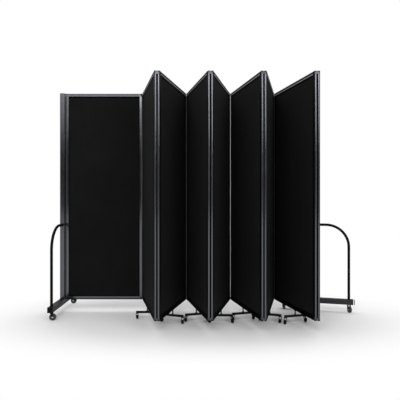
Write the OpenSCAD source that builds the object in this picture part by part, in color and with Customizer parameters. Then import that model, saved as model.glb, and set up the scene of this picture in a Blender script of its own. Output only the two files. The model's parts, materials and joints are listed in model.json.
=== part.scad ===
// Accordion folding partition on casters: nine framed boards joined by two-axis hinge links,
// with an end post and a welded, arched end frame on casters at each end,
// and a swivelling T-shaped foot with two small casters under each panel between.
// Millimetres, +Z up. The origin is on the floor, at the middle of the overall box.

/* [Fold] */
// Angle between the first and the second panel
first_fold = 105.2; // [60:0.2:180]
// Angle between any two neighbouring panels from the second to the eighth
inner_fold = 30; // [29.6:0.2:180]
// Angle between the last two panels
last_fold = 29.2; // [29:0.2:180]

/* [Panel] */
// Distance between the two hinge axes of a panel
panel_w = 525; // [450:1:700]
// Height of the top of the panels above the floor
panel_top = 1524; // [1000:1:2200]
// Height of the bottom of the panels above the floor
panel_bottom = 84; // [80:1:110]
// Thickness of the frame, whose outer edges are half round
panel_t = 16; // [14:0.5:20]
// Width of the face of the frame's stiles and rails
frame_face = 22; // [20:0.5:32]
// Thickness of the fabric-covered board
board_t = 11.4; // [8:0.2:12]
// Depth of the channel that holds the edge of the board
channel_d = 8; // [4:0.5:10]

/* [Hinge] */
// Distance between the two axes of a hinge link
link_w = 18; // [17.5:0.1:26]
// Length of the stile's end that a hinge link and its cap take up
hinge_h = 19; // [14:0.5:30]
// Thickness of the cap over a hinge link
cap_t = 4.5; // [3:0.5:8]
// Diameter of a hinge pin
hinge_pin_d = 6; // [4:0.5:8]
// Depth of the flexible seal between two stiles, across the gap
seal_depth = 3.6; // [2:0.2:3.8]

/* [End post] */
// Width of the end post, along the panel
post_w = 34; // [28:1:50]
// Thickness of the end post, across the panel
post_t = 30; // [20:1:36]
// Radius of the end post's corners
post_round = 5; // [2:0.5:9]
// Gap between the end post's face and the edge of the panel
post_gap = 4; // [2:0.25:6]
// Thickness of the rib that joins the end post to the panel, all the way up
rib_t = 6; // [4:0.5:8]
// Thickness of the rib's thicker lugs at the top and the bottom
lug_t = 12; // [9:0.5:13]

/* [End frame] */
// Height of the base beam's top above the floor
beam_top = 89; // [86:1:94]
// Side of the square base beam
beam_side = 34; // [28:1:35]
// Length of the base beam between its end caps
beam_len = 494; // [440:2:600]
// Thickness of a beam's end cap
beam_cap_t = 3; // [2:0.5:5]
// How far a beam's end cap stands out past the beam's faces
beam_cap_lip = 1; // [0.5:0.25:2]
// Diameter of the arched tube
arch_d = 18; // [12:1:22]
// Distance between the middles of the arch's two legs
arch_span = 444; // [400:2:480]
// Height of the arch's centre line above the floor
arch_h = 606; // [450:2:900]
// Radius of the arch's bends
arch_bend = 152; // [60:2:180]

/* [End caster] */
// Diameter of an end caster's wheel
end_wheel_d = 43; // [34:1:44]
// Width of an end caster's wheel
end_wheel_w = 15; // [12:1:18]
// Distance of the wheel's axle behind the swivel axis
end_trail = 8; // [6:1:16]
// Diameter of the swivel stem
end_stem_d = 10; // [8:1:12]
// Length of the stem inside the beam
end_stem_len = 22; // [15:1:26]
// Diameter of the wheel's axle
end_axle_d = 6; // [5:0.5:8]
// Radius of the fork's horn, the disc under the beam
horn_r = 13; // [12:0.5:15]
// Thickness of the fork's horn
horn_h = 3.5; // [2.5:0.5:5]
// Thickness of each of the fork's cheeks
fork_plate = 2.5; // [2:0.25:3]
// Radius of the cheek's rounded end, round the axle
cheek_r = 5; // [4:0.5:6]

/* [Foot] */
// Distance from the middle of the foot to each of its caster stems
foot_reach = 67.5; // [60:0.5:69]
// Width of the foot's bar
foot_bar_w = 14; // [12:1:18]
// Height of the foot's bar
foot_bar_h = 12; // [11:0.5:14]
// Height of the bar's underside above the floor
foot_bar_z = 41; // [38:0.5:42]
// Diameter of the foot's stub
foot_stub_d = 8; // [6:0.5:9]
// Depth to which the stub enters the bottom rail
foot_stub_in = 11; // [8:0.5:12]
// Height of the collar round the stub's root, above the bar
foot_collar_h = 3; // [1:0.5:6]

/* [Foot caster] */
// Diameter of a foot caster's wheel
foot_wheel_d = 26; // [22:0.5:27]
// Width of a foot caster's wheel
foot_wheel_w = 11; // [9:0.5:13]
// Distance of the wheel's axle behind the swivel axis
foot_trail = 9; // [6:0.5:9.5]
// Diameter of the swivel stem
foot_stem_d = 6; // [5:0.5:7]
// Length of the stem inside the bar
foot_stem_len = 9; // [7:0.5:9.5]
// Diameter of the wheel's axle
foot_axle_d = 5; // [4:0.5:6]
// Radius of the fork's horn, the disc under the bar
foot_horn_r = 9; // [8:0.5:10]
// Thickness of the fork's horn
foot_horn_h = 3; // [2:0.5:3.5]
// Thickness of each of the fork's cheeks
foot_plate = 2; // [1.5:0.25:2.5]

/* [Clearances] */
// Radial clearance of pins, stems and stubs in their bores
fit = 0.05; // [0.02:0.01:0.1]
// Gap between neighbouring faces that move past each other
play = 0.4; // [0.3:0.1:0.6]
// Gap between the board and the walls of its channel
board_gap = 0.1; // [0.05:0.05:0.3]
// Gap between a wheel's side and the fork's cheek
fork_gap = 0.8; // [0.5:0.1:1.2]

/* [Hidden] */
$fn = 64;
PANELS = 9;
eps = 0.01;
// How far joined pieces run into each other, and cuts run past a face
bite = 1;
nose_r = panel_t / 2;
flange = frame_face - nose_r;
pin_r = hinge_pin_d / 2;
link_r = nose_r - 0.2;
notch_x = nose_r + play;
post_x = nose_r + post_gap + post_w / 2;
beam_bottom = beam_top - beam_side;
beam_cap_side = beam_side + 2 * beam_cap_lip;
cheek_top_h = 2;
tread_round = 2;
groove_d = 1;
axle_end = 0.5;
colour_metal = [0.23, 0.24, 0.26];
colour_fabric = [0.055, 0.055, 0.06];
colour_black = [0.04, 0.04, 0.045];
colour_wheel = [0.09, 0.09, 0.1];

// Half of what each fold turns through when the two panels are laid flat,
// with the sign of the turn from one panel to the next
function fold_angle(k) = k == 1 ? first_fold : k == PANELS - 1 ? last_fold : inner_fold;
function half_turn(k) = (k % 2 == 1 ? -1 : 1) * (180 - fold_angle(k)) / 2;
function heading(k) = k == 1 ? 0 : link_heading(k - 1) + half_turn(k - 1);
function link_heading(k) = heading(k) + half_turn(k);
function along(angle, length) = length * [cos(angle), sin(angle), 0];
function panel_start(k) = k == 1 ? [0, 0, 0] : panel_end(k - 1) + along(link_heading(k - 1), link_w);
function panel_end(k) = panel_start(k) + along(heading(k), panel_w);

// Middle of the overall box, measured from the first panel's outer axis
left_edge = -nose_r - post_gap - post_w;
last = panel_end(PANELS) + along(heading(PANELS), post_x);
cap_reach = [beam_len / 2 + beam_cap_t, beam_cap_side / 2];
right_edge = last[0] + cap_reach[0] * abs(sin(heading(PANELS)))
    + cap_reach[1] * abs(cos(heading(PANELS)));
front_edge = min([for (k = [2:PANELS]) panel_start(k)[1]]) - nose_r;
back_edge = cap_reach[0];
middle = [(left_edge + right_edge) / 2, (front_edge + back_edge) / 2, 0];

ENDS = ["left", "right"];
SIDES = ["front", "rear"];

// ---------------------------------------------------------------- placing

// A panel's own frame: X from its first hinge axis to its second, Y across, Z up
module at_panel(k) {
    translate(panel_start(k) - middle)
        rotate([0, 0, heading(k)])
            children();
}

module at_link(k) {
    translate(panel_end(k) - middle)
        rotate([0, 0, link_heading(k)])
            children();
}

// The middle of an end post, X towards the panels and Y along the beam
module at_end(e) {
    if (e == "left")
        translate([-post_x, 0, 0] - middle)
            children();
    else
        translate(last - middle)
            rotate([0, 0, heading(PANELS)])
                mirror([1, 0, 0])
                    children();
}

// ---------------------------------------------------------------- panels

// The channel in a frame member's inner face, in the member's section
module channel() {
    translate([flange - channel_d, -board_t / 2 - board_gap])
        square([channel_d + bite, board_t + 2 * board_gap]);
}

// Section of a stile: half-round edge, flat faces, channel for the board
module stile_section() {
    difference() {
        union() {
            circle(r = nose_r);
            translate([0, -nose_r])
                square([flange, panel_t]);
        }
        channel();
    }
}

// Section of a rail: as wide and as thick as a stile, with a square outer edge
module rail_section() {
    difference() {
        translate([-nose_r, -nose_r])
            square([frame_face, panel_t]);
        channel();
    }
}

// One end of a stile, from the end face inwards: cap, pin and the notch that the link turns in
module stile_notch() {
    translate([-nose_r - bite, -nose_r - bite, cap_t])
        cube([nose_r + bite + notch_x, panel_t + 2 * bite, hinge_h - cap_t]);
}

// The two notches of a hinged stile, at its bottom and its top
module stile_notches() {
    translate([0, 0, panel_bottom])
        stile_notch();
    translate([0, 0, panel_top])
        mirror([0, 0, 1])
            stile_notch();
}

module hinge_pin() {
    translate([0, 0, cap_t - bite])
        cylinder(r = pin_r, h = hinge_h - cap_t + 2 * bite);
}

module stile(hinged) {
    difference() {
        translate([0, 0, panel_bottom])
            linear_extrude(panel_top - panel_bottom)
                stile_section();
        if (hinged)
            stile_notches();
    }
    if (hinged) {
        translate([0, 0, panel_bottom])
            hinge_pin();
        translate([0, 0, panel_top])
            mirror([0, 0, 1])
                hinge_pin();
    }
}

// The rail's section stands on its square edge, and runs between the two stiles
module rail() {
    translate([flange, 0, nose_r])
        rotate([90, 0, 90])
            linear_extrude(panel_w - 2 * flange)
                rotate([0, 0, 90])
                    rail_section();
}

module foot_socket(k) {
    translate([foot_x(k), 0, -bite])
        cylinder(r = foot_stub_d / 2 + fit, h = foot_stub_in + bite + play);
}

module panel_frame(k) {
    color(colour_metal)
        at_panel(k) {
            stile(k > 1);
            translate([panel_w, 0, 0])
                mirror([1, 0, 0])
                    stile(k < PANELS);
            translate([0, 0, panel_bottom])
                difference() {
                    rail();
                    if (k > 1 && k < PANELS)
                        foot_socket(k);
                }
            translate([0, 0, panel_top])
                mirror([0, 0, 1])
                    rail();
        }
}

// The board stands on the floor of the bottom rail's channel, and its corners stay out of the notches
module panel_board(k) {
    seat = frame_face - channel_d;
    side = flange - channel_d + board_gap;
    color(colour_fabric)
        at_panel(k)
            difference() {
                translate([side, -board_t / 2, panel_bottom + seat])
                    cube([panel_w - 2 * side, board_t, panel_top - panel_bottom - 2 * seat - board_gap]);
                if (k > 1)
                    stile_notches();
                if (k < PANELS)
                    translate([panel_w, 0, 0])
                        mirror([1, 0, 0])
                            stile_notches();
            }
}

// ---------------------------------------------------------------- hinge links

module link_block() {
    linear_extrude(hinge_h - cap_t - 2 * play)
        difference() {
            union() {
                circle(r = link_r);
                translate([0, -link_r])
                    square([link_w, 2 * link_r]);
                translate([link_w, 0])
                    circle(r = link_r);
            }
            circle(r = pin_r + fit);
            translate([link_w, 0])
                circle(r = pin_r + fit);
        }
}

// The seal's two sides are hollow, round the two half-round stile edges
module seal() {
    linear_extrude(panel_top - panel_bottom - 2 * (hinge_h - play - bite))
        difference() {
            translate([0, -seal_depth / 2])
                square([link_w, seal_depth]);
            circle(r = nose_r + play);
            translate([link_w, 0])
                circle(r = nose_r + play);
        }
}

module hinge_link(k) {
    color(colour_black)
        at_link(k) {
            translate([0, 0, panel_bottom + cap_t + play])
                link_block();
            translate([0, 0, panel_top - hinge_h + play])
                link_block();
            translate([0, 0, panel_bottom + hinge_h - play - bite])
                seal();
        }
}

// ---------------------------------------------------------------- end posts and end frames

module rounded_square(size, r) {
    for (x = [-1, 1], y = [-1, 1])
        translate([x * (size[0] / 2 - r), y * (size[1] / 2 - r)])
            circle(r = r);
    square([size[0] - 2 * r, size[1]], center = true);
    square([size[0], size[1] - 2 * r], center = true);
}

// A rib, hollowed to the panel's half-round edge, that joins the post to the first stile
module post_rib(thickness) {
    difference() {
        translate([0, -thickness / 2])
            square([post_x, thickness]);
        translate([post_x, 0])
            circle(r = nose_r);
    }
}

module end_post(e) {
    color(colour_metal)
        at_end(e)
            translate([0, 0, beam_top]) {
                linear_extrude(panel_top - beam_top) {
                    rounded_square([post_w, post_t], post_round);
                    post_rib(rib_t);
                }
                for (z = [0, panel_top - beam_top - hinge_h])
                    translate([0, 0, z])
                        linear_extrude(hinge_h)
                            post_rib(lug_t);
            }
}

module arch() {
    leg = arch_span / 2;
    straight = leg - arch_bend - post_t / 2;
    for (side = [0, 1])
        mirror([0, side, 0]) {
            translate([0, post_t / 2, arch_h])
                rotate([-90, 0, 0])
                    cylinder(d = arch_d, h = straight);
            translate([0, leg - arch_bend, arch_h - arch_bend])
                rotate([90, 0, 90])
                    rotate_extrude(angle = 90)
                        translate([arch_bend, 0])
                            circle(d = arch_d);
            translate([0, leg, beam_top - bite])
                cylinder(d = arch_d, h = arch_h - arch_bend - beam_top + bite);
        }
}

module end_frame(e) {
    color(colour_metal)
        at_end(e) {
            difference() {
                union() {
                    translate([-beam_side / 2, -beam_len / 2, beam_bottom])
                        cube([beam_side, beam_len, beam_side]);
                    for (side = [-1, 1])
                        translate([0, side * (beam_len + beam_cap_t) / 2, beam_top - beam_side / 2])
                            cube([beam_cap_side, beam_cap_t, beam_cap_side], center = true);
                }
                for (side = [-1, 1])
                    translate([0, side * arch_span / 2, beam_bottom - bite])
                        cylinder(r = end_stem_d / 2 + fit, h = end_stem_len + bite + play);
            }
            arch();
        }
}

// ---------------------------------------------------------------- casters

// Directions in which the wheels trail behind their swivels, in each foot's or end's own frame
END_SWIVEL = [[6, 352], [336, 348]];
FOOT_SWIVEL = [[182, 340], [195, 115], [195, 95], [203, 130], [168, 125], [170, 345], [315, 117]];

module end_swivel(e, s) {
    i = search([e], ENDS)[0];
    j = search([s], SIDES)[0];
    at_end(e)
        translate([0, (j * 2 - 1) * arch_span / 2, 0])
            rotate([0, 0, END_SWIVEL[i][j]])
                children();
}

// A fork's cheek: a rounded end at the axle, widening up to the horn
module cheek(axle, wheel_r, top, thickness, horn) {
    rotate([90, 0, 0])
        linear_extrude(thickness, center = true)
            hull() {
                translate([axle, wheel_r])
                    circle(r = cheek_r, $fn = 32);
                translate([cheek_r - horn, top - cheek_top_h])
                    square([2 * (horn - cheek_r), cheek_top_h]);
            }
}

module end_caster_fork(e, s) {
    wheel_r = end_wheel_d / 2;
    inside = end_wheel_w / 2 + fork_gap;
    color(colour_metal)
        end_swivel(e, s) {
            translate([0, 0, beam_bottom - play - horn_h])
                cylinder(r = horn_r, h = horn_h);
            translate([0, 0, beam_bottom - play - bite])
                cylinder(d = end_stem_d, h = end_stem_len + bite + play);
            for (side = [-1, 1])
                translate([0, side * (inside + fork_plate / 2), 0])
                    cheek(end_trail, wheel_r, beam_bottom - play - horn_h + bite, fork_plate, horn_r);
            translate([end_trail, 0, wheel_r])
                rotate([90, 0, 0])
                    cylinder(d = end_axle_d, h = 2 * (inside + fork_plate + axle_end), center = true);
        }
}

// A wheel on its side: a tread with rounded shoulders, and a groove in each face round the hub
module wheel(d, w, bore) {
    rotate([90, 0, 0])
        rotate_extrude()
            difference() {
                union() {
                    translate([0, -w / 2])
                        square([d / 2 - tread_round, w]);
                    translate([0, -w / 2 + tread_round])
                        square([d / 2, w - 2 * tread_round]);
                    for (y = [-1, 1])
                        translate([d / 2 - tread_round, y * (w / 2 - tread_round)])
                            circle(r = tread_round);
                }
                translate([0, -w])
                    square([bore, 2 * w]);
                for (y = [-1, 1])
                    translate([d / 4, y * w / 2 - groove_d])
                        square([d / 8, 2 * groove_d]);
            }
}

module end_caster_wheel(e, s) {
    color(colour_wheel)
        end_swivel(e, s)
            translate([end_trail, 0, end_wheel_d / 2])
                wheel(end_wheel_d, end_wheel_w, end_axle_d / 2 + fit);
}

// ---------------------------------------------------------------- feet

// How far each foot stands from its panel's middle, towards the rear fold,
// and the angle to which its bar is turned from square across the panel
FOOT_SHIFT = [72, -6, 22, -6, 42, 10, -20];
FOOT_TURN = [-15, -5, 0, 12, 0, -5, 0];

function foot_x(k) = panel_w / 2 + (k % 2 == 0 ? -1 : 1) * FOOT_SHIFT[k - 2];

module at_foot(k) {
    at_panel(k)
        translate([foot_x(k), 0, 0])
            rotate([0, 0, FOOT_TURN[k - 2]])
                children();
}

module foot_bar(k) {
    color(colour_black)
        at_foot(k) {
            difference() {
                translate([0, 0, foot_bar_z])
                    linear_extrude(foot_bar_h) {
                        square([foot_bar_w, 2 * foot_reach], center = true);
                        for (side = [-1, 1])
                            translate([0, side * foot_reach])
                                circle(d = foot_bar_w);
                    }
                for (side = [-1, 1])
                    translate([0, side * foot_reach, foot_bar_z - bite])
                        cylinder(r = foot_stem_d / 2 + fit, h = foot_stem_len + bite + play);
            }
            translate([0, 0, foot_bar_z + bite])
                cylinder(d = foot_stub_d, h = panel_bottom + foot_stub_in - foot_bar_z - bite);
            translate([0, 0, foot_bar_z + foot_bar_h - bite])
                cylinder(d = foot_bar_w, h = foot_collar_h + bite);
        }
}

module foot_caster(k, s) {
    j = search([s], SIDES)[0];
    wheel_r = foot_wheel_d / 2;
    inside = foot_wheel_w / 2 + fork_gap;
    top = foot_bar_z - play - foot_horn_h;
    color(colour_black)
        at_foot(k)
            translate([0, (j * 2 - 1) * foot_reach, 0])
                rotate([0, 0, FOOT_SWIVEL[k - 2][j]]) {
                    translate([0, 0, top])
                        cylinder(r = foot_horn_r, h = foot_horn_h);
                    translate([0, 0, top + bite])
                        cylinder(d = foot_stem_d, h = foot_stem_len + foot_horn_h - bite + play);
                    for (side = [-1, 1])
                        translate([0, side * (inside + foot_plate / 2), 0])
                            cheek(foot_trail, wheel_r, top + bite, foot_plate, foot_horn_r);
                    translate([foot_trail, 0, wheel_r])
                        rotate([90, 0, 0])
                            cylinder(d = foot_axle_d, h = 2 * (inside + foot_plate), center = true);
                    translate([foot_trail, 0, wheel_r])
                        wheel(foot_wheel_d, foot_wheel_w, foot_axle_d / 2 - eps);
                }
}

// ---------------------------------------------------------------- nodes

for (k = [1:PANELS]) {
    panel_frame(k);
    panel_board(k);
}
for (k = [1:PANELS - 1]) {
    hinge_link(k);
}
for (e = ENDS) {
    end_post(e);
    end_frame(e);
}
for (e = ENDS, s = SIDES) {
    end_caster_fork(e, s);
    end_caster_wheel(e, s);
}
for (k = [2:PANELS - 1]) {
    foot_bar(k);
}
for (k = [2:PANELS - 1], s = SIDES) {
    foot_caster(k, s);
}
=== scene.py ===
"""Looks of the accordion folding partition: finishes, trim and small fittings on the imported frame.

Panels are numbered 1 to 9 from the left, and link K joins panel K to panel K + 1. Sizes are in
metres: X runs along the face-on first panel, Y away from the camera and Z up.
"""
import json
import math

import bmesh
import bpy
from mathutils import Matrix, Vector

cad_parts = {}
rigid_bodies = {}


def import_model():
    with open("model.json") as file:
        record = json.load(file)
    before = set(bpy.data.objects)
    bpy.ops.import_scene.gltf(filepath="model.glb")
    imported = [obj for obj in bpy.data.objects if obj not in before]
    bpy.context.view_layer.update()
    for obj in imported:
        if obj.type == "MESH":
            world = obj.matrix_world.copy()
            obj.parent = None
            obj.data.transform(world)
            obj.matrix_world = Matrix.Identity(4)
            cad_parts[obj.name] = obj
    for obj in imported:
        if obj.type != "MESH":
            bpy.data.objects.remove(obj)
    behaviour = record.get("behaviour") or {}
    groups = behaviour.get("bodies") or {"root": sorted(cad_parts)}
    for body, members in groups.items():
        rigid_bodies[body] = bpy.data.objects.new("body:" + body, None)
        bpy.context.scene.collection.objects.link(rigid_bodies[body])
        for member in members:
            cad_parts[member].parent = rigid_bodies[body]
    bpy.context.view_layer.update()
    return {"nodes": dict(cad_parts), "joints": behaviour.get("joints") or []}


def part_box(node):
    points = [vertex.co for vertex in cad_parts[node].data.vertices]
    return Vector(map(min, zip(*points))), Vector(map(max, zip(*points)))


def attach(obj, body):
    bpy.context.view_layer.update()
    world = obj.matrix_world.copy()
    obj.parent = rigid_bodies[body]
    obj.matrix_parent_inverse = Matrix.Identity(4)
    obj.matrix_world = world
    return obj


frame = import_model()

# ---------------------------------------------------------------- measures

MM = 0.001
RIGHT = Vector((1, 0, 0))
BACK = Vector((0, 1, 0))
UP = Vector((0, 0, 1))
BOTH = (-1, 1)
PANELS = 9
JOINTS = {joint["name"]: joint for joint in frame["joints"]}

FRAME_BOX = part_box("panel_1_frame")
BOARD_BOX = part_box("panel_1_board")
PANEL_BOTTOM, PANEL_TOP = FRAME_BOX[0].z, FRAME_BOX[1].z
NOSE_R = (FRAME_BOX[1].y - FRAME_BOX[0].y) / 2
BOARD_T = BOARD_BOX[1].y - BOARD_BOX[0].y
FACE_W = 22 * MM
FLANGE = FACE_W - NOSE_R
HINGE_H = 19 * MM

POST_W = 34 * MM
POST_T = 30 * MM
POST_GAP = 4 * MM
POST_X = NOSE_R + POST_GAP + POST_W / 2
POST_ROUND = 5 * MM
BEAM_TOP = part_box("left_end_post")[0].z
BEAM_SIDE = 34 * MM
BEAM_REACH = 250 * MM
ARCH_R = 9 * MM
ARCH_LEG = 222 * MM
ARCH_H = 606 * MM


def flat(v):
    return Vector((v[0], v[1], 0))


def panel_ends():
    """Each panel's two hinge axes on the floor. The outermost two lie one panel width out."""
    starts, ends = {}, {}
    for k in range(1, PANELS):
        for joint in (JOINTS[f"fold_{k}"], JOINTS[f"link_{k}_turn"]):
            if f"panel_{k}" in (joint["parent"], joint["child"]):
                ends[k] = flat(joint["pos_m"])
            else:
                starts[k + 1] = flat(joint["pos_m"])
    width = (ends[2] - starts[2]).length
    starts[1] = ends[1] - Vector((width, 0, 0))
    ends[PANELS] = starts[PANELS] + (ends[PANELS - 2] - starts[PANELS - 2])
    return starts, ends, width


STARTS, ENDS, PANEL_W = panel_ends()


def place(origin, x_dir, y_dir=None):
    """The matrix that puts a piece drawn at the origin at a point, X along x_dir and Z up."""
    x = x_dir.normalized()
    y = UP.cross(x) if y_dir is None else y_dir.normalized()
    m = Matrix((x, y, UP)).transposed().to_4x4()
    m.translation = origin
    return m


def panel_place(k):
    return place(STARTS[k], ENDS[k] - STARTS[k])


# ---------------------------------------------------------------- node trees

WHITE = (1, 1, 1, 1)


class Tree:
    """A node tree of a material or the world, with short names for the nodes used here."""

    def __init__(self, owner):
        owner.use_nodes = True
        self.nodes, self.links = owner.node_tree.nodes, owner.node_tree.links

    def fill(self, node, inputs):
        """Sets a node's inputs: other nodes' outputs are linked, values are set on the socket."""
        for key, value in inputs.items():
            if isinstance(value, bpy.types.NodeSocket):
                self.links.new(value, node.inputs[key])
            else:
                node.inputs[key].default_value = value

    def node(self, kind, inputs=None, **settings):
        node = self.nodes.new("ShaderNode" + kind)
        for setting, value in settings.items():
            setattr(node, setting, value)
        self.fill(node, inputs or {})
        return node

    def maths(self, operation, *values):
        return self.node("Math", dict(enumerate(values)), operation=operation).outputs[0]

    def own(self, kind):
        """A point's place (Object) or direction (Normal) in the object's own coordinates."""
        return self.node("TexCoord").outputs[kind]

    def part(self, kind, axis):
        return self.node("SeparateXYZ", {0: self.own(kind)}).outputs[axis]

    def facing(self, axis):
        """How squarely the surface faces along an axis of the stored pose, either way: 0 to 1."""
        return self.maths("ABSOLUTE", self.part("Normal", axis))

    def noise(self, scale, detail, stretch=(1, 1, 1)):
        """Noise over the object's own coordinates, finer along an axis that is stretched more."""
        mapping = self.node("Mapping", {"Vector": self.own("Object"), "Scale": stretch})
        inputs = {"Scale": scale, "Detail": detail, "Vector": mapping.outputs["Vector"]}
        return self.node("TexNoise", inputs).outputs["Fac"]

    def ranged(self, value, low, high, new_low=0, new_high=1, **settings):
        inputs = {"From Min": low, "From Max": high, "To Min": new_low, "To Max": new_high,
                  "Value": value}
        return self.node("MapRange", inputs, **settings).outputs["Result"]

    def blend(self, factor, first, second):
        """Goes from one colour to another. The second may be another node's output."""
        if not isinstance(second, bpy.types.NodeSocket):
            second = (*second, 1)
        inputs = {"A": (*first, 1), "B": second, "Factor": factor}
        return self.node("Mix", inputs, data_type="RGBA").outputs["Result"]

    def mix_shaders(self, factor, first, second):
        return self.node("MixShader", {0: factor, 1: first, 2: second}).outputs[0]

    def pale_rays(self):
        """1 for rays that see the pale background: from the camera, by reflection or by glass."""
        seen = self.node("LightPath").outputs
        first = self.maths("MAXIMUM", seen["Is Camera Ray"], seen["Is Glossy Ray"])
        return self.maths("MAXIMUM", first, seen["Is Transmission Ray"])


class Finish(Tree):
    """A material on the Principled shader."""

    def __init__(self, name, colour, roughness, metallic=0.0):
        self.material = bpy.data.materials.new(name)
        super().__init__(self.material)
        self.set({"Base Color": (*colour, 1), "Roughness": roughness, "Metallic": metallic})

    def set(self, inputs):
        self.fill(self.nodes["Principled BSDF"], inputs)

    def bump(self, height, distance, strength):
        inputs = {"Height": height, "Distance": distance, "Strength": strength}
        self.set({"Normal": self.node("Bump", inputs).outputs["Normal"]})


# ---------------------------------------------------------------- camera, light and floor

CAMERA_AT = (-0.0430, -2.7419, 0.780)
LENS_MM = 36.9
SENSOR_MM = 36
WORLD_LIGHT = 0.55
# Name, place, point it is aimed at, width and length, power in watts
LAMPS = (
    ("key", (-0.9, -4.0, 3.4), (0, 0, 0.6), (2.6, 2.0), 90),
    ("fill", (2.2, -3.4, 2.6), (0.3, 0, 0.6), (2.2, 2.0), 45),
    ("top", (0, 0.8, 4.2), (0, 0, 0.4), (3.4, 2.4), 60),
)
FLOOR_HALF = 30
FLOOR_COLOUR = (0.90, 0.90, 0.90, 1)
# Half axes of the oval past which the floor is as white as the background
FLOOR_REACH = (1.75, 0.85)
FLAG_HALF = 6
FLAG_LOW, FLAG_HIGH = 0.45, 2.35
FLAG_AT = (0, -6.4, 0)
FLAG_COLOUR = (0.09, 0.09, 0.092)


def link(thing):
    bpy.context.scene.collection.objects.link(thing)
    return thing


def add_sheet(name, corners):
    mesh = bpy.data.meshes.new(name)
    mesh.from_pydata(corners, [], [(0, 1, 2, 3)])
    return link(bpy.data.objects.new(name, mesh))


def make_camera():
    data = bpy.data.cameras.new("camera")
    data.lens = LENS_MM
    data.sensor_width = SENSOR_MM
    camera = link(bpy.data.objects.new("camera", data))
    camera.location = CAMERA_AT
    camera.rotation_euler = (math.radians(90), 0, 0)
    bpy.context.scene.camera = camera


def area_light(name, location, target, size, power):
    data = bpy.data.lights.new(name, "AREA")
    data.shape = "RECTANGLE"
    data.size, data.size_y = size
    data.energy = power
    lamp = link(bpy.data.objects.new(name, data))
    lamp.location = location
    lamp.rotation_euler = (Vector(target) - Vector(location)).to_track_quat("-Z", "Y").to_euler()


def make_world():
    """Plain studio light, with a white background behind the object and in its reflections."""
    world = bpy.data.worlds.new("studio")
    bpy.context.scene.world = world
    tree = Tree(world)
    tree.nodes.clear()
    light = tree.node("Background", {"Color": WHITE, "Strength": WORLD_LIGHT}).outputs[0]
    pale = tree.node("Background", {"Color": WHITE, "Strength": 1.0}).outputs[0]
    tree.node("OutputWorld", {0: tree.mix_shaders(tree.pale_rays(), light, pale)})


def make_floor():
    """A wide pale floor that keeps the object's shadow and fades into the white background."""
    h = FLOOR_HALF
    floor = add_sheet("floor", [(-h, -h, 0), (h, -h, 0), (h, h, 0), (-h, h, 0)])
    material = bpy.data.materials.new("floor")
    tree = Tree(material)
    tree.nodes.clear()
    paint = tree.node("BsdfDiffuse", {"Color": FLOOR_COLOUR}).outputs[0]
    white = tree.node("Emission", {"Color": WHITE, "Strength": 1.0}).outputs[0]
    oval = tree.node("VectorMath", {0: tree.own("Object"), 1: (*FLOOR_REACH, 1)},
                     operation="DIVIDE")
    reach = tree.node("VectorMath", {0: oval.outputs[0]}, operation="LENGTH")
    fade = tree.ranged(reach.outputs["Value"], 0.5, 1.0, interpolation_type="SMOOTHSTEP")
    far = tree.maths("MULTIPLY", fade, tree.pale_rays())
    tree.node("OutputMaterial", {0: tree.mix_shaders(far, paint, white)})
    floor.data.materials.append(material)


def make_flag():
    """A dark screen behind the camera, which glossy metal shows as its darker middle."""
    h = FLAG_HALF
    flag = add_sheet("dark_flag", [(-h, 0, FLAG_LOW), (h, 0, FLAG_LOW), (h, 0, FLAG_HIGH),
                                   (-h, 0, FLAG_HIGH)])
    flag.location = FLAG_AT
    flag.data.materials.append(Finish("dark_flag", FLAG_COLOUR, 1.0).material)
    flag.visible_camera = False
    flag.visible_shadow = False
    flag.visible_diffuse = False


bpy.context.scene.view_settings.view_transform = "Standard"
make_camera()
make_world()
make_floor()
make_flag()
for lamp_facts in LAMPS:
    area_light(*lamp_facts)

# ---------------------------------------------------------------- materials

METAL_LOW = (0.098, 0.101, 0.111)
METAL_HIGH = (0.112, 0.115, 0.126)
METALLIC = 0.9
# Painted shade on the extrusion's flanks
FLANK_PAINTED_SHADE = (0.0025, 0.0028, 0.003)
# Upright faces below this height get painted light, a charcoal grey over the black coat; the height
# takes in the beam, its end plates and the weld's foot
SIDE_LIGHT_TOP = BEAM_TOP + 1 * MM


def metal_finish():
    """Charcoal anodised extrusion: satin noses with fine drawing lines, and painted shade on the
    flanks: faces not turned along Y are near black, not metallic and rougher.
    """
    tree = Finish("charcoal_metal", METAL_LOW, 0.16, METALLIC)
    lines = tree.noise(1.0, 2.0, (900, 900, 3))
    marks = tree.noise(9.0, 5.0)
    # Painted shade: 1 where a face turns along Y, 0 on the flanks, which are darkened to near black
    lit = tree.ranged(tree.facing("Y"), 0.80, 0.90)
    tree.set({
        "Base Color": tree.blend(lit, FLANK_PAINTED_SHADE, tree.blend(lines, METAL_LOW, METAL_HIGH)),
        "Roughness": tree.maths("ADD", tree.ranged(marks, 0.3, 0.75, 0.12, 0.20),
                                tree.ranged(lit, 0, 1, 0.35, 0)),
        "Metallic": tree.ranged(lit, 0, 1, 0, METALLIC),
        "Specular Tint": (0.1, 0.1, 0.105, 1),
        "Specular IOR Level": 0.03,
    })
    return tree.material


def coat_finish():
    """Black powder coat of the welded end frames, with painted light on the beam's upright sides,
    which are a charcoal grey.
    """
    tree = Finish("black_coat", (0.004, 0.0042, 0.0045), 0.42)
    cloud = tree.noise(14, 3.0)
    # Painted light: upright faces low down are grey, while tops and everything higher stay black
    low = tree.ranged(tree.part("Object", "Z"), SIDE_LIGHT_TOP, SIDE_LIGHT_TOP - 2 * MM)
    side = tree.ranged(tree.facing("Z"), 0.5, 0.3)
    grey = tree.blend(cloud, (0.030, 0.031, 0.034), (0.042, 0.043, 0.047))
    tree.set({
        "Base Color": tree.blend(tree.maths("MULTIPLY", low, side), (0.0042, 0.0044, 0.005), grey),
        "Roughness": tree.ranged(cloud, 0.3, 0.7, 0.34, 0.48),
        "Specular IOR Level": 0.04,
    })
    tree.bump(tree.noise(700, 3.0), 0.00001, 0.1)
    return tree.material


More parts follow.
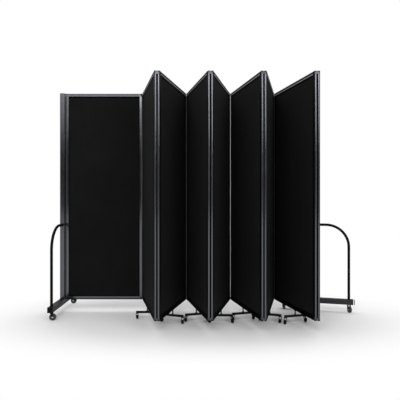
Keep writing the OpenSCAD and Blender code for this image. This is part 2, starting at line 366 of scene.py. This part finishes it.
def cloth_finish():
    """Black woven acoustic cloth: crossing threads, a slight slub along the warp, a soft sheen."""
    tree = Finish("black_cloth", (0.0055, 0.0055, 0.0057), 0.95)
    wave = {"Scale": 160, "Distortion": 0.6, "Detail": 1.0, "Vector": tree.own("Object")}
    threads = tree.maths("MULTIPLY", *(
        tree.node("TexWave", wave, wave_type="BANDS", bands_direction=d).outputs["Fac"]
        for d in ("X", "Z")))
    slub = tree.noise(1.0, 4.0, (60, 60, 4))
    tone = tree.maths("MULTIPLY_ADD", slub, 0.6, tree.noise(3.5, 4.0))
    tree.set({
        "Base Color": tree.blend(tree.ranged(tone, 0.5, 1.1),
                                 (0.0056, 0.0056, 0.0058), (0.0082, 0.0082, 0.0084)),
        "Sheen Weight": 0.008,
        "Sheen Roughness": 0.5,
        "Specular IOR Level": 0.04,
    })
    tree.bump(tree.maths("ADD", threads, slub), 0.0003, 0.5)
    return tree.material


def plastic_finish(name, colour, roughness, shine=0.06):
    """Moulded plastic or vinyl with a fine spark-eroded grain and slightly uneven gloss."""
    tree = Finish(name, colour, roughness)
    gloss = tree.noise(30, 3.0)
    tree.set({
        "Base Color": tree.blend(gloss, colour, tuple(min(1, c * 1.5) for c in colour)),
        "Roughness": tree.ranged(gloss, 0.3, 0.7, roughness - 0.06, roughness + 0.08),
        "Specular IOR Level": shine,
    })
    tree.bump(tree.noise(1400, 2.0), 0.00005, 0.3)
    return tree.material


def rubber_finish():
    """Wheel tread: dark grey, dusty where it rolls."""
    tree = Finish("tread_rubber", (0.03, 0.03, 0.031), 0.7)
    dust = tree.noise(120, 5.0)
    tree.set({"Base Color": tree.blend(tree.ranged(dust, 0.45, 0.75),
                                       (0.022, 0.022, 0.023), (0.07, 0.068, 0.065))})
    tree.bump(dust, 0.0001, 0.3)
    return tree.material


def zinc_finish():
    """Zinc-plated steel of the end casters' hub caps and ball races."""
    tree = Finish("zinc_plate", (0.55, 0.56, 0.58), 0.28, 1.0)
    spots = tree.noise(300, 4.0)
    tree.set({
        "Base Color": tree.blend(spots, (0.48, 0.49, 0.51), (0.62, 0.63, 0.65)),
        "Roughness": tree.ranged(spots, 0.3, 0.7, 0.2, 0.38),
    })
    return tree.material


def hinge_finish():
    """The link's blocks are charcoal metal, and the seal between them is black vinyl."""
    tree = Finish("hinge_link", METAL_LOW, 0.3, METALLIC)
    from_middle = tree.maths("ABSOLUTE", tree.maths(
        "SUBTRACT", tree.part("Object", "Z"), (PANEL_TOP + PANEL_BOTTOM) / 2))
    edge = (PANEL_TOP - PANEL_BOTTOM) / 2 - HINGE_H
    block = tree.ranged(from_middle, edge - 0.0002, edge + 0.0002)
    tree.set({
        "Base Color": tree.blend(block, (0.0015, 0.0015, 0.0017), (0.066, 0.069, 0.075)),
        "Roughness": tree.ranged(block, 0, 1, 0.8, 0.26),
        "Metallic": tree.ranged(block, 0, 1, 0.0, METALLIC),
        "Specular Tint": (0.1, 0.1, 0.11, 1),
        "Specular IOR Level": 0.03,
    })
    tree.bump(tree.noise(1.0, 3.0, (400, 400, 20)), 0.00005, 0.3)
    return tree.material


METAL = metal_finish()
COAT = coat_finish()
CLOTH = cloth_finish()
PLASTIC = plastic_finish("black_plastic", (0.0045, 0.0045, 0.005), 0.42)
# Black rubber of the gaskets and seams, also used as painted shade along the bottom rails
GASKET_AND_SHADE_BLACK = plastic_finish("gasket_rubber_and_shade", (0.0012, 0.0012, 0.0013), 0.7, 0.01)
BAND_FACE = plastic_finish("band_charcoal", (0.095, 0.097, 0.106), 0.6, 0.01)
# Painted shade: the same band, darker on the folded panels
BAND_PAINTED_SHADE = plastic_finish("band_painted_shade", (0.020, 0.0205, 0.022), 0.6, 0.01)
# Painted highlight: lighter strips along the top rail, one tone on the face-on panel and another on
# the folded ones
RAIL_HIGHLIGHT_FACE = plastic_finish("rail_painted_highlight_face", (0.135, 0.137, 0.146), 0.5, 0.01)
RAIL_HIGHLIGHT_FOLD = plastic_finish("rail_painted_highlight_fold", (0.175, 0.178, 0.19), 0.5, 0.01)
# Painted light at the bottom of some folds, a pale tone and a dim one
LIP_PAINTED_LIGHT = plastic_finish("lip_painted_light", (0.86, 0.86, 0.86), 0.6, 0.02)
LIP_PAINTED_DIM_LIGHT = plastic_finish("lip_painted_dim_light", (0.085, 0.086, 0.088), 0.6, 0.02)
LIP_BLACK = plastic_finish("lip_black", (0.020, 0.0205, 0.021), 0.6, 0.02)
TREAD = rubber_finish()
ZINC = zinc_finish()
HINGE = hinge_finish()


def worn_by(name):
    """The material of a CAD node."""
    if name.endswith("_board"):
        return CLOTH
    if name.startswith("hinge_link"):
        return HINGE
    if name.endswith("_wheel"):
        return TREAD
    if name.startswith("foot_") or name.endswith("_fork"):
        return PLASTIC
    if name.endswith("_end_frame"):
        return COAT
    return METAL


def dress(node, material):
    if not node.material_slots:
        node.data.materials.append(material)
    for slot in node.material_slots:
        slot.material = material


for node_name, cad_node in frame["nodes"].items():
    dress(cad_node, worn_by(node_name))

# ---------------------------------------------------------------- shapes

SHARP = math.radians(35)


def add_piece(name, bm, body, material, smooth=True):
    """Makes a finished bmesh a piece that rides on a body, with sharp edges where faces turn."""
    bmesh.ops.recalc_face_normals(bm, faces=bm.faces)
    for edge in bm.edges:
        if len(edge.link_faces) == 2 and edge.calc_face_angle() > SHARP:
            edge.smooth = False
    mesh = bpy.data.meshes.new(name)
    bm.to_mesh(mesh)
    bm.free()
    mesh.materials.append(material)
    for polygon in mesh.polygons:
        polygon.use_smooth = smooth
    piece = link(bpy.data.objects.new(name, mesh))
    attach(piece, body)


def add_loops(bm, loops, ring=False):
    """Skins equal, closed loops of points. A ring joins the last loop to the first."""
    rows = [[bm.verts.new(p) for p in loop] for loop in loops]
    pairs = list(zip(rows, rows[1:])) + ([(rows[-1], rows[0])] if ring else [])
    count = len(rows[0])
    for a, b in pairs:
        for i in range(count):
            bm.faces.new((a[i], a[(i + 1) % count], b[(i + 1) % count], b[i]))
    if not ring:
        bm.faces.new(rows[0][::-1])
        bm.faces.new(rows[-1])


def lathe(bm, matrix, profile, sides):
    """Turns (radius, height) points about the matrix's Z axis, closed at both ends."""
    turns = [math.tau * i / sides for i in range(sides)]
    add_loops(bm, [[matrix @ Vector((radius * math.cos(a), radius * math.sin(a), height))
                    for a in turns] for radius, height in profile])


def aim(origin, axis):
    """The matrix whose Z axis points along a direction."""
    m = axis.normalized().to_track_quat("Z", "Y").to_matrix().to_4x4()
    m.translation = origin
    return m


# ---------------------------------------------------------------- panels

CAP_DEPTH = 4.5 * MM
CAP_PROUD = 0.3 * MM
CAP_BEVEL = 0.7 * MM
# How far the cap's outline is grown, and the height of that outline over the end of the stile
CAP_RIM = (
    (CAP_PROUD, -CAP_DEPTH),
    (CAP_PROUD, CAP_PROUD - CAP_BEVEL),
    (CAP_PROUD - CAP_BEVEL * 0.3, CAP_PROUD - CAP_BEVEL * 0.3),
    (CAP_PROUD - CAP_BEVEL, CAP_PROUD),
)
NOSE_STEPS = 14

BEAD_W = 6.5 * MM
BEAD_DEPTH = NOSE_R - BOARD_T / 2
# Across the bead from the frame inwards, and up from the cloth
BEAD_SECTION = (
    (0, -0.2 * MM),
    (0, BEAD_DEPTH - 0.3 * MM),
    (1.6 * MM, BEAD_DEPTH - 0.2 * MM),
    (BEAD_W * 0.7, BEAD_DEPTH * 0.45),
    (BEAD_W, -0.2 * MM),
)

SEAM_W = 0.5 * MM
SEAM_PROUD = 0.05 * MM
SEAM_SUNK = 0.2 * MM

STRIP_SUNK = 0.25 * MM
STRIP_BEVEL = 0.4 * MM
STRIP_GAP = 0.4 * MM
BAND_PROUD = 0.25 * MM
HIGHLIGHT_STRIP_PROUD = 0.4 * MM
# Distances below the top of the panel
TOP_BAND = (11.8 * MM, 0.2 * MM)
RAIL_HIGHLIGHT_SPAN = (18.6 * MM, 12.2 * MM)
UNDER_LIP = (FACE_W, 18.9 * MM)
# Height of the black strip of painted shade on the bottom rail, of the face-on panel and of the
# others
FOOT_SHADE_FACE = 6 * MM
FOOT_SHADE_FOLD = FACE_W - 0.4 * MM


def stile_outline(grow):
    """A stile's end, grown a little: half round at the hinge axis, flat sides, square inside."""
    r = NOSE_R + grow
    turns = (math.radians(270 - 180 * i / NOSE_STEPS) for i in range(NOSE_STEPS + 1))
    return [(FLANGE, -r), *((r * math.cos(a), r * math.sin(a)) for a in turns), (FLANGE, r)]


def stile_caps(k):
    """Moulded end caps on the two stiles, top and bottom, with a bevelled rim."""
    bm = bmesh.new()
    base = panel_place(k)
    for flip in (False, True):
        for level, up in ((PANEL_TOP, 1), (PANEL_BOTTOM, -1)):
            add_loops(bm, [[base @ Vector((PANEL_W - x if flip else x, y, level + up * height))
                            for x, y in stile_outline(grow)] for grow, height in CAP_RIM])
    add_piece(f"panel_{k}_stile_caps", bm, f"panel_{k}", PLASTIC)


def gasket(k):
    """The black bead that closes the gap between frame and cloth, mitred at the corners."""
    bm = bmesh.new()
    base = panel_place(k)
    left, right = FLANGE, PANEL_W - FLANGE
    low, high = PANEL_BOTTOM + FACE_W, PANEL_TOP - FACE_W
    corners = ((left, low, 1, 1), (right, low, -1, 1), (right, high, -1, -1), (left, high, 1, -1))
    for side in BOTH:
        add_loops(bm, [[base @ Vector((x + sx * u, side * (BOARD_T / 2 + v), z + sz * u))
                        for u, v in BEAD_SECTION] for x, z, sx, sz in corners], ring=True)
    add_piece(f"panel_{k}_gasket", bm, f"panel_{k}", GASKET_AND_SHADE_BLACK)


def seams(k):
    """Hairlines where the rails butt against the stiles."""
    bm = bmesh.new()
    base = panel_place(k)
    half = SEAM_W / 2
    for x in (FLANGE, PANEL_W - FLANGE):
        for ends in ((PANEL_BOTTOM, PANEL_BOTTOM + FACE_W), (PANEL_TOP - FACE_W, PANEL_TOP)):
            for side in BOTH:
                near = side * (NOSE_R - SEAM_SUNK)
                far = side * (NOSE_R + SEAM_PROUD)
                section = ((-half, near), (-half, far), (half, far), (half, near))
                add_loops(bm, [[base @ Vector((x + dx, y, z)) for dx, y in section] for z in ends])
    add_piece(f"panel_{k}_seams", bm, f"panel_{k}", GASKET_AND_SHADE_BLACK, smooth=False)


def rail_strip(bm, k, low, high, proud):
    """A flat strip with bevelled edges on both faces of a panel, between the stiles."""
    base = panel_place(k)
    section = ((low, -STRIP_SUNK), (low, proud * 0.4), (low + STRIP_BEVEL, proud),
               (high - STRIP_BEVEL, proud), (high, proud * 0.4), (high, -STRIP_SUNK))
    for side in BOTH:
        add_loops(bm, [[base @ Vector((x, side * (NOSE_R + v), z)) for z, v in section]
                       for x in (FLANGE + STRIP_GAP, PANEL_W - FLANGE - STRIP_GAP)])


def rail_bands(k):
    """Strips across the rails: a charcoal band at the top, painted darker as shade on the folded
    panels; a lighter strip below it that is a painted highlight; a black strip under that; and black
    painted shade along the bottom rail.
    """
    face_on = k == 1

    def strip(bm, below_top, proud):
        rail_strip(bm, k, PANEL_TOP - below_top[0], PANEL_TOP - below_top[1], proud)
        return bm

    # The top band is charcoal on the face-on panel and painted shade on the folded ones
    add_piece(f"panel_{k}_top_band", strip(bmesh.new(), TOP_BAND, BAND_PROUD), f"panel_{k}",
              BAND_FACE if face_on else BAND_PAINTED_SHADE)
    # The lighter strip is a painted highlight along the rail
    add_piece(f"panel_{k}_rail_painted_highlight", strip(bmesh.new(), RAIL_HIGHLIGHT_SPAN, HIGHLIGHT_STRIP_PROUD), f"panel_{k}",
              RAIL_HIGHLIGHT_FACE if face_on else RAIL_HIGHLIGHT_FOLD)
    # Painted shade: a black strip along the bottom rail, nearly the rail's whole height on the
    # folded panels
    bm = bmesh.new()
    foot_shade = FOOT_SHADE_FACE if face_on else FOOT_SHADE_FOLD
    rail_strip(bm, k, PANEL_BOTTOM + 0.2 * MM, PANEL_BOTTOM + foot_shade, BAND_PROUD)
    add_piece(f"panel_{k}_black_bands", strip(bm, UNDER_LIP, BAND_PROUD), f"panel_{k}",
              GASKET_AND_SHADE_BLACK)


# ---------------------------------------------------------------- folds

BULB_R = 2 * MM
BULB_OUT = 8.3 * MM
BULB_STEPS = 18
WEB_HALF = 0.5 * MM
WEB_START = 1.5 * MM
LIP_END_GAP = 1 * MM
# These folds' lips are painted lighter than the black of the others: painted light at the bottom of
# these folds
PAINTED_LIP_TONES = {1: LIP_PAINTED_DIM_LIGHT, 3: LIP_PAINTED_DIM_LIGHT, 5: LIP_PAINTED_LIGHT}


def fold_lip(k):
    """The vinyl bulb that closes the inside of a fold, on a web that grows from the seal."""
    a, b = ENDS[k], STARTS[k + 1]
    across = (b - a).normalized()
    inwards = Vector((-across.y, across.x, 0))
    if inwards.dot(STARTS[k] - a) < 0:
        inwards = -inwards
    middle = (a + b) / 2
    start = math.asin(WEB_HALF / BULB_R)
    turns = [-math.pi / 2 - start - (math.tau - 2 * start) * i / BULB_STEPS
             for i in range(BULB_STEPS + 1)]
    outline = [(-WEB_HALF, WEB_START),
               *((BULB_R * math.cos(t), BULB_OUT + BULB_R * math.sin(t)) for t in turns),
               (WEB_HALF, WEB_START)]
    bm = bmesh.new()
    ends = (PANEL_BOTTOM + HINGE_H + LIP_END_GAP, PANEL_TOP - HINGE_H - LIP_END_GAP)
    add_loops(bm, [[middle + across * u + inwards * v + UP * z for u, v in outline] for z in ends])
    # Folds in the tones table get painted light as the lip's colour; the others are black vinyl
    add_piece(f"fold_{k}_lip", bm, f"link_{k}", PAINTED_LIP_TONES.get(k, LIP_BLACK))


for number in range(1, PANELS + 1):
    stile_caps(number)
    gasket(number)
    seams(number)
    rail_bands(number)
for number in range(1, PANELS):
    fold_lip(number)

# ---------------------------------------------------------------- end frames

WELD_R = 1.7 * MM
WELD_OUT = 0.4 * MM
# The weld round the post's foot is narrower than the post, and deeper by this
POST_WELD_NARROW = 0.91
POST_WELD_DEEPER = 0.8 * MM
WELD_SIDES = 8
RING_POINTS = 48
CORNER_STEPS = 6
# A weld's path has points this close together. A plug's has them at its corners only, since no
# side of it is a metre long
WELD_SPACING = 3 * MM
NO_SPACING = 1
# How far a plug's outline is drawn in, and its height over the end that it closes
POST_PLUG = (
    (0.3 * MM, -0.4 * MM), (0.3 * MM, 1.2 * MM), (0.8 * MM, 1.9 * MM), (2.2 * MM, 2.4 * MM),
)
BEAM_PLUG = ((0.4 * MM, -0.3 * MM), (0.4 * MM, 0.9 * MM), (1.2 * MM, 1.7 * MM))
BEAM_PLUG_ROUND = 3 * MM
BEAM_PLATE = 2 * MM


def end_place(side):
    """Middle of an end post on the floor: X towards the panels, Y along the beam."""
    if side == "left":
        return place(STARTS[1] - Vector((POST_X, 0, 0)), RIGHT)
    x = (STARTS[PANELS] - ENDS[PANELS]).normalized()
    return place(ENDS[PANELS] - x * POST_X, x, Vector((-x.y, x.x, 0)) * -1)


def weld(bm, base, path, outward):
    """A bead of weld along a closed path. Two waves that never meet give it a torch's ripples."""
    loops = []
    count = len(path)
    for i, p in enumerate(path):
        swell = WELD_R * (1 + 0.14 * math.sin(i * 2.1) + 0.08 * math.sin(i * 5.3))
        normal = outward(p).normalized()
        tangent = (path[(i + 1) % count] - path[i - 1]).normalized()
        side = tangent.cross(normal)
        loops.append([base @ (p + (normal * math.cos(a) + side * math.sin(a)) * swell)
                      for a in (math.tau * j / WELD_SIDES for j in range(WELD_SIDES))])
    add_loops(bm, loops, ring=True)


def circle_path(centre, across, up):
    """Points round an arched tube, a little off its surface."""
    turns = (math.tau * i / RING_POINTS for i in range(RING_POINTS))
    return [centre + (across * math.cos(a) + up * math.sin(a)) * (ARCH_R + WELD_OUT) for a in turns]


def rounded_rectangle(width, depth, radius, spacing):
    """Points round a rectangle with rounded corners, and along its sides at about the spacing."""
    points = []
    for cx, cy, start in ((1, 1, 0), (-1, 1, 90), (-1, -1, 180), (1, -1, 270)):
        for i in range(CORNER_STEPS + 1):
            a = math.radians(start + 90 * i / CORNER_STEPS)
            points.append(Vector((cx * (width / 2 - radius) + radius * math.cos(a),
                                  cy * (depth / 2 - radius) + radius * math.sin(a), 0)))
    dense = []
    for a, b in zip(points, points[1:] + points[:1]):
        pieces = max(1, round((b - a).length / spacing))
        dense += [a.lerp(b, i / pieces) for i in range(pieces)]
    return dense


def end_welds(side, body):
    """The welds at the arch's feet, at the tube's hold on the post and round the post's foot."""
    bm = bmesh.new()
    base = end_place(side)
    for sign in BOTH:
        foot = Vector((0, sign * ARCH_LEG, BEAM_TOP))
        weld(bm, base, circle_path(foot, RIGHT, BACK), lambda p, c=foot: p - c + UP * ARCH_R)
        hold = Vector((0, sign * POST_T / 2, ARCH_H))
        weld(bm, base, circle_path(hold, RIGHT, UP),
             lambda p, c=hold, s=sign: p - c + BACK * s * ARCH_R)
    rim = rounded_rectangle(POST_W * POST_WELD_NARROW, POST_T + POST_WELD_DEEPER, POST_ROUND,
                            WELD_SPACING)
    weld(bm, base, [p + UP * BEAM_TOP for p in rim], lambda p: flat(p).normalized() + UP)
    add_piece(f"{side}_end_welds", bm, body, COAT)


def end_plugs(side, body):
    """The pressed-in plugs: a domed one on the post, bevelled ones in the beam's ends."""
    bm = bmesh.new()
    base = end_place(side)
    loops = []
    for inset, height in POST_PLUG:
        outline = rounded_rectangle(POST_W - 2 * inset, POST_T - 2 * inset, POST_ROUND - inset,
                                    NO_SPACING)
        loops.append([base @ (p + UP * (PANEL_TOP + height)) for p in outline])
    add_loops(bm, loops)
    for sign in BOTH:
        loops = []
        for inset, height in BEAM_PLUG:
            width = BEAM_SIDE + BEAM_PLATE - 2 * inset
            outline = rounded_rectangle(width, width, BEAM_PLUG_ROUND, NO_SPACING)
            y = sign * (BEAM_REACH + height)
            loops.append([base @ Vector((p.x, y, BEAM_TOP - BEAM_SIDE / 2 + p.y)) for p in outline])
        add_loops(bm, loops)
    add_piece(f"{side}_end_plugs", bm, body, PLASTIC)


for end_side, end_body in (("left", "panel_1"), ("right", f"panel_{PANELS}")):
    end_welds(end_side, end_body)
    end_plugs(end_side, end_body)

# ---------------------------------------------------------------- casters

# Each hub cap has a radius, a height and a number of sides
FORK_GAP = 0.8 * MM
END_WHEEL_W = 15 * MM
END_CHEEK = 2.5 * MM
END_HUB = (5.2 * MM, 1.4 * MM, 28)
FOOT_WHEEL_W = 11 * MM
FOOT_WHEEL_R = 13 * MM
FOOT_CHEEK = 2 * MM
FOOT_TRAIL = 9 * MM
FOOT_HUB = (4.2 * MM, 0.7 * MM, 20)
RACE_SIDES = 36
# Radius of the ball race's outline, and its height from the underside of the beam
RACE = (
    (9 * MM, -6.2 * MM), (12 * MM, -5.6 * MM), (14.6 * MM, -3.6 * MM), (15.2 * MM, -2.4 * MM),
    (14.6 * MM, -1.2 * MM), (12 * MM, -0.5 * MM), (6 * MM, -0.45 * MM),
)


def hub_caps(name, body, axle, axis, out, hub, material):
    """Pressed caps on both ends of an axle: a rolled rim, a dished face and a domed middle."""
    radius, height, sides = hub
    profile = ((radius, -0.3 * MM), (radius, height * 0.5), (radius * 0.9, height * 0.9),
               (radius * 0.72, height * 0.8), (radius * 0.45, height * 0.75),
               (radius * 0.36, height * 1.3), (radius * 0.15, height * 1.7))
    bm = bmesh.new()
    for sign in BOTH:
        lathe(bm, aim(axle + axis * sign * out, axis * sign), profile, sides)
    add_piece(f"{name}_hub_caps", bm, body, material)


def end_caster_trim(side, face):
    """Hub caps on both cheeks, and the ball race under the beam."""
    name = f"{side}_{face}_caster"
    spin = JOINTS[f"{side}_{face}_spin"]
    hub_caps(name, f"{name}_fork", Vector(spin["pos_m"]), Vector(spin["axis"]),
             END_WHEEL_W / 2 + FORK_GAP + END_CHEEK, END_HUB, ZINC)
    bm = bmesh.new()
    lathe(bm, aim(Vector(JOINTS[f"{side}_{face}_swivel"]["pos_m"]), UP), RACE, RACE_SIDES)
    add_piece(f"{name}_race", bm, f"{name}_fork", ZINC)


def foot_caster_trim(k, face):
    """Hub caps on both cheeks. The caster trails from its swivel towards the middle of its box."""
    name = f"foot_{k}_{face}_caster"
    low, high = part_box(name)
    swivel = Vector(JOINTS[f"foot_{k}_{face}_swivel"]["pos_m"])
    middle = Vector(((low.x + high.x) / 2, (low.y + high.y) / 2, 0))
    trail = flat(middle - swivel).normalized()
    axle = flat(swivel) + trail * FOOT_TRAIL + UP * FOOT_WHEEL_R
    hub_caps(name, name, axle, UP.cross(trail),
             FOOT_WHEEL_W / 2 + FORK_GAP + FOOT_CHEEK, FOOT_HUB, PLASTIC)


for end_side in ("left", "right"):
    for end_face in ("front", "rear"):
        end_caster_trim(end_side, end_face)
for number in range(2, PANELS):
    for foot_face in ("front", "rear"):
        foot_caster_trim(number, foot_face)
